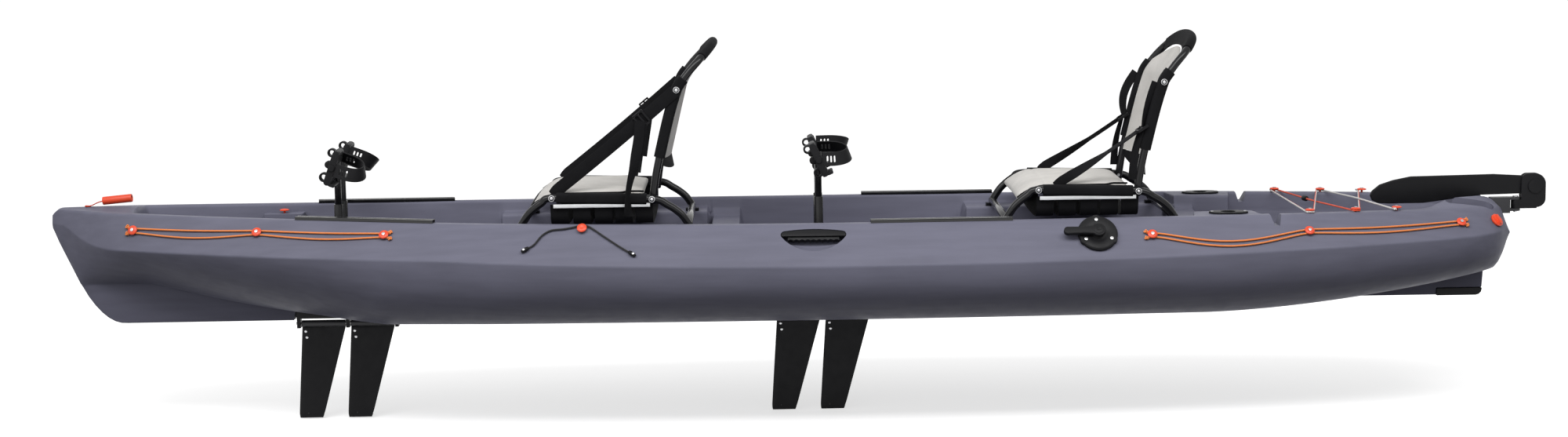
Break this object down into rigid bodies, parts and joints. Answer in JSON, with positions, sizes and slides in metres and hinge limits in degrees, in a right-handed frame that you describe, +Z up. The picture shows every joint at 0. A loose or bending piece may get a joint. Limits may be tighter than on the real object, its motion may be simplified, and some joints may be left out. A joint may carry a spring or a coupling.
{
  "type": "tandem pedal kayak",
  "caption": "Tandem sit-on-top kayak with framed folding seats, pedal drives with flapping fins, gear rails, rod holders, deck bungees and a flip-up rudder.",
  "frame": {"origin": "amidships on the centreline, at the flat of the keel", "axes": "+X aft, +Y to starboard, +Z up"},
  "size_m": [4.376, 0.8644, 1.1023],
  "materials": {
    "hull_plastic": "rotomoulded satin grey",
    "black_plastic": "satin black",
    "black_aluminium": "black anodised",
    "red_plastic": "orange red",
    "red_webbing": "woven webbing",
    "orange_cord": "braided elastic cord",
    "red_cord": "braided elastic cord",
    "black_cord": "braided elastic cord",
    "steel": "stainless",
    "grey_metal": "dark grey",
    "silver_aluminium": "satin",
    "drive_plastic": "moulded black",
    "black_metal": "gloss black",
    "black_rubber": "matt black",
    "fin_plastic": "ribbed black",
    "black_tube": "gloss black coated tube",
    "seat_fabric": "pale grey mesh cloth",
    "black_webbing": "woven webbing"
  },
  "bodies": {
    "hull": {"hull_shell": "hull_plastic", "skid_plate": "black_plastic", "gear_rails": "black_aluminium", "rod_holders": "black_plastic", "side_grips": "black_plastic", "bungee_pads": "red_plastic", "side_bungees": "orange_cord", "paddle_holder": "black_cord", "tank_bungee": "red_cord", "deck_screws": "steel", "lever_base": "black_plastic", "rudder_bracket": "grey_metal", "rudder_pin": "steel", "crank_shafts": "steel", "fin_shafts": "steel", "front_drive_housing": "drive_plastic", "rear_drive_housing": "drive_plastic", "front_seat_base": "black_tube", "front_seat_pan": "seat_fabric", "rear_seat_base": "black_tube", "rear_seat_pan": "seat_fabric", "seat_rails": "silver_aluminium", "seat_bolts": "steel"},
    "bow_grip": {"bow_handle": "red_plastic", "bow_strap": "red_webbing"},
    "plug": {"drain_plug": "red_plastic"},
    "lever": {"steering_lever": "black_plastic"},
    "rudder": {"rudder_housing": "black_plastic", "rudder_bolt": "black_plastic"},
    "blade": {"rudder_blade": "black_plastic"},
    "front_crank_left": {"front_crank_left": "black_metal"},
    "front_crank_right": {"front_crank_right": "black_metal"},
    "front_post_left": {"front_post_left": "black_metal"},
    "front_pedal_left": {"front_pedal_left": "drive_plastic", "front_foot_strap_left": "black_rubber"},
    "front_post_right": {"front_post_right": "black_metal"},
    "front_pedal_right": {"front_pedal_right": "drive_plastic", "front_foot_strap_right": "black_rubber"},
    "front_fore_fin": {"front_fore_mast": "grey_metal", "front_fore_fin": "fin_plastic"},
    "front_aft_fin": {"front_aft_mast": "grey_metal", "front_aft_fin": "fin_plastic"},
    "front_seat_back": {"front_seat_back_frame": "black_tube", "front_seat_back": "seat_fabric", "front_seat_straps": "black_webbing"},
    "rear_crank_left": {"rear_crank_left": "black_metal"},
    "rear_crank_right": {"rear_crank_right": "black_metal"},
    "rear_post_left": {"rear_post_left": "black_metal"},
    "rear_pedal_left": {"rear_pedal_left": "drive_plastic", "rear_foot_strap_left": "black_rubber"},
    "rear_post_right": {"rear_post_right": "black_metal"},
    "rear_pedal_right": {"rear_pedal_right": "drive_plastic", "rear_foot_strap_right": "black_rubber"},
    "rear_fore_fin": {"rear_fore_mast": "grey_metal", "rear_fore_fin": "fin_plastic"},
    "rear_aft_fin": {"rear_aft_mast": "grey_metal", "rear_aft_fin": "fin_plastic"},
    "rear_seat_back": {"rear_seat_back_frame": "black_tube", "rear_seat_back": "seat_fabric", "rear_seat_straps": "black_webbing"}
  },
  "joints": [
    {"name": "bow_grip_lift", "type": "hinge", "parent": "hull", "child": "bow_grip", "pos_m": [-2.041, 0, 0.3474], "axis": [0, -1, 0], "range_deg": [0, 100]},
    {"name": "plug_turn", "type": "hinge", "parent": "hull", "child": "plug", "pos_m": [2.046, -0.18672, 0.25864], "axis": [0.4889, -0.6327, 0.6006], "range_deg": [0, 360]},
    {"name": "lever_turn", "type": "hinge", "parent": "hull", "child": "lever", "pos_m": [0.876, -0.35957, 0.26299], "axis": [0.0439, -0.7595, 0.649], "range_deg": [-50, 50]},
    {"name": "rudder_swing", "type": "hinge", "parent": "hull", "child": "rudder", "pos_m": [2.155, 0, 0.283], "axis": [0, 0, 1], "range_deg": [-22, 22]},
    {"name": "blade_flip", "type": "hinge", "parent": "rudder", "child": "blade", "pos_m": [2.209, 0, 0.336], "axis": [0, 1, 0], "range_deg": [0, 270]},
    {"name": "front_crank_left_swing", "type": "hinge", "parent": "hull", "child": "front_crank_left", "pos_m": [-1.295, -0.042, 0.151], "axis": [0, 1, 0], "range_deg": [-28, 28]},
    {"name": "front_crank_right_swing", "type": "hinge", "parent": "hull", "child": "front_crank_right", "pos_m": [-1.295, 0.042, 0.151], "axis": [0, 1, 0], "range_deg": [-28, 28]},
    {"name": "front_post_left_reach", "type": "slide", "parent": "front_crank_left", "child": "front_post_left", "axis": [0, 0, 1], "range_m": [-0.025, 0.04]},
    {"name": "front_pedal_left_tilt", "type": "hinge", "parent": "front_post_left", "child": "front_pedal_left", "pos_m": [-1.295, -0.101, 0.461], "axis": [0, 1, 0], "range_deg": [-35, 35]},
    {"name": "front_post_right_reach", "type": "slide", "parent": "front_crank_right", "child": "front_post_right", "axis": [0, 0, 1], "range_m": [-0.025, 0.04]},
    {"name": "front_pedal_right_tilt", "type": "hinge", "parent": "front_post_right", "child": "front_pedal_right", "pos_m": [-1.295, 0.101, 0.461], "axis": [0, 1, 0], "range_deg": [-35, 35]},
    {"name": "front_fore_fin_sweep", "type": "hinge", "parent": "hull", "child": "front_fore_fin", "pos_m": [-1.358, 0, -0.012], "axis": [1, 0, 0], "range_deg": [-70, 70]},
    {"name": "front_aft_fin_sweep", "type": "hinge", "parent": "hull", "child": "front_aft_fin", "pos_m": [-1.214, 0, -0.012], "axis": [1, 0, 0], "range_deg": [-70, 70]},
    {"name": "front_seat_back_fold", "type": "hinge", "parent": "hull", "child": "front_seat_back", "pos_m": [-0.375, 0, 0.367], "axis": [0, -1, 0], "range_deg": [0, 68], "deforming": ["front_seat_straps"]},
    {"name": "rear_crank_left_swing", "type": "hinge", "parent": "hull", "child": "rear_crank_left", "pos_m": [0.103, -0.042, 0.151], "axis": [0, 1, 0], "range_deg": [-28, 28]},
    {"name": "rear_crank_right_swing", "type": "hinge", "parent": "hull", "child": "rear_crank_right", "pos_m": [0.103, 0.042, 0.151], "axis": [0, 1, 0], "range_deg": [-28, 28]},
    {"name": "rear_post_left_reach", "type": "slide", "parent": "rear_crank_left", "child": "rear_post_left", "axis": [0, 0, 1], "range_m": [-0.025, 0.04]},
    {"name": "rear_pedal_left_tilt", "type": "hinge", "parent": "rear_post_left", "child": "rear_pedal_left", "pos_m": [0.103, -0.101, 0.461], "axis": [0, 1, 0], "range_deg": [-35, 35]},
    {"name": "rear_post_right_reach", "type": "slide", "parent": "rear_crank_right", "child": "rear_post_right", "axis": [0, 0, 1], "range_m": [-0.025, 0.04]},
    {"name": "rear_pedal_right_tilt", "type": "hinge", "parent": "rear_post_right", "child": "rear_pedal_right", "pos_m": [0.103, 0.101, 0.461], "axis": [0, 1, 0], "range_deg": [-35, 35]},
    {"name": "rear_fore_fin_sweep", "type": "hinge", "parent": "hull", "child": "rear_fore_fin", "pos_m": [0.04, 0, -0.012], "axis": [1, 0, 0], "range_deg": [-70, 70]},
    {"name": "rear_aft_fin_sweep", "type": "hinge", "parent": "hull", "child": "rear_aft_fin", "pos_m": [0.184, 0, -0.012], "axis": [1, 0, 0], "range_deg": [-70, 70]},
    {"name": "rear_seat_back_fold", "type": "hinge", "parent": "hull", "child": "rear_seat_back", "pos_m": [1.011, 0, 0.367], "axis": [0, -1, 0], "range_deg": [0, 68], "deforming": ["rear_seat_straps"]}
  ],
  "couplings": [
    {"joint": "rudder_swing", "follows": "lever_turn", "ratio": 0.44},
    {"joint": "front_crank_right_swing", "follows": "front_crank_left_swing", "ratio": -1},
    {"joint": "front_fore_fin_sweep", "follows": "front_crank_left_swing", "ratio": 2.5},
    {"joint": "front_aft_fin_sweep", "follows": "front_crank_left_swing", "ratio": -2.5},
    {"joint": "rear_crank_right_swing", "follows": "rear_crank_left_swing", "ratio": -1},
    {"joint": "rear_fore_fin_sweep", "follows": "rear_crank_left_swing", "ratio": 2.5},
    {"joint": "rear_aft_fin_sweep", "follows": "rear_crank_left_swing", "ratio": -2.5}
  ]
}
